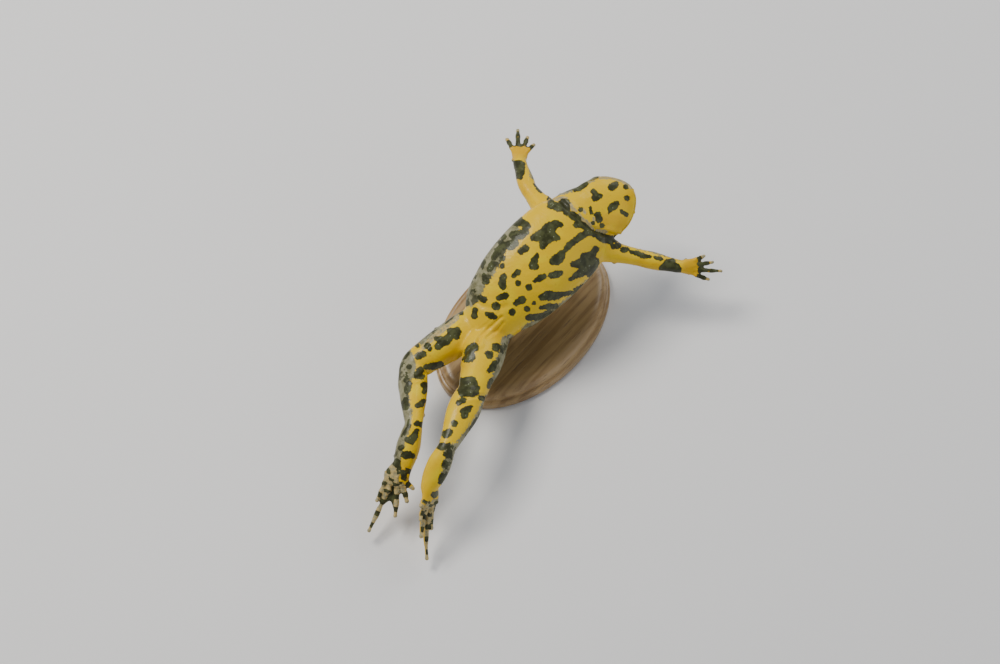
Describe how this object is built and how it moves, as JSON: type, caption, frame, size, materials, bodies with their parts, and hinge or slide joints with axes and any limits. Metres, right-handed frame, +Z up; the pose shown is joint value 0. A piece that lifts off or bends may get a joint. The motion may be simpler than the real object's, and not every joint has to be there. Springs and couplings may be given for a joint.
{
  "type": "yellow-bellied fire toad model",
  "caption": "Life-size still model of a fire-bellied toad of the yellow-bellied kind, swimming belly up with arms spread and legs trailing, on a small display stand.",
  "frame": {"origin": "on the floor, below the middle of the whole model's box", "axes": "+Y along the trunk towards the head, +Z up; the belly faces up and leans 30 degrees towards +X, the side of the animal's left arm"},
  "size_m": [0.05, 0.0878, 0.0295],
  "materials": {
    "skin": "moist skin, yellow below with slate blotches, olive grey and warty above",
    "eye": "wet, bronze iris with a dark three-cornered pupil",
    "stand_wood": "satin oak",
    "stand_steel": "brushed"
  },
  "bodies": {
    "root": {"torso": "skin", "head": "skin", "eye_right": "eye", "eye_left": "eye", "upper_arm_right": "skin", "upper_arm_left": "skin", "forearm_right": "skin", "forearm_left": "skin", "hand_right": "skin", "hand_left": "skin", "thigh_right": "skin", "thigh_left": "skin", "shank_right": "skin", "shank_left": "skin", "tarsus_right": "skin", "tarsus_left": "skin", "foot_right": "skin", "foot_left": "skin", "stand_base": "stand_wood", "stand_rod_front": "stand_steel", "stand_rod_rear": "stand_steel"}
  },
  "joints": []
}
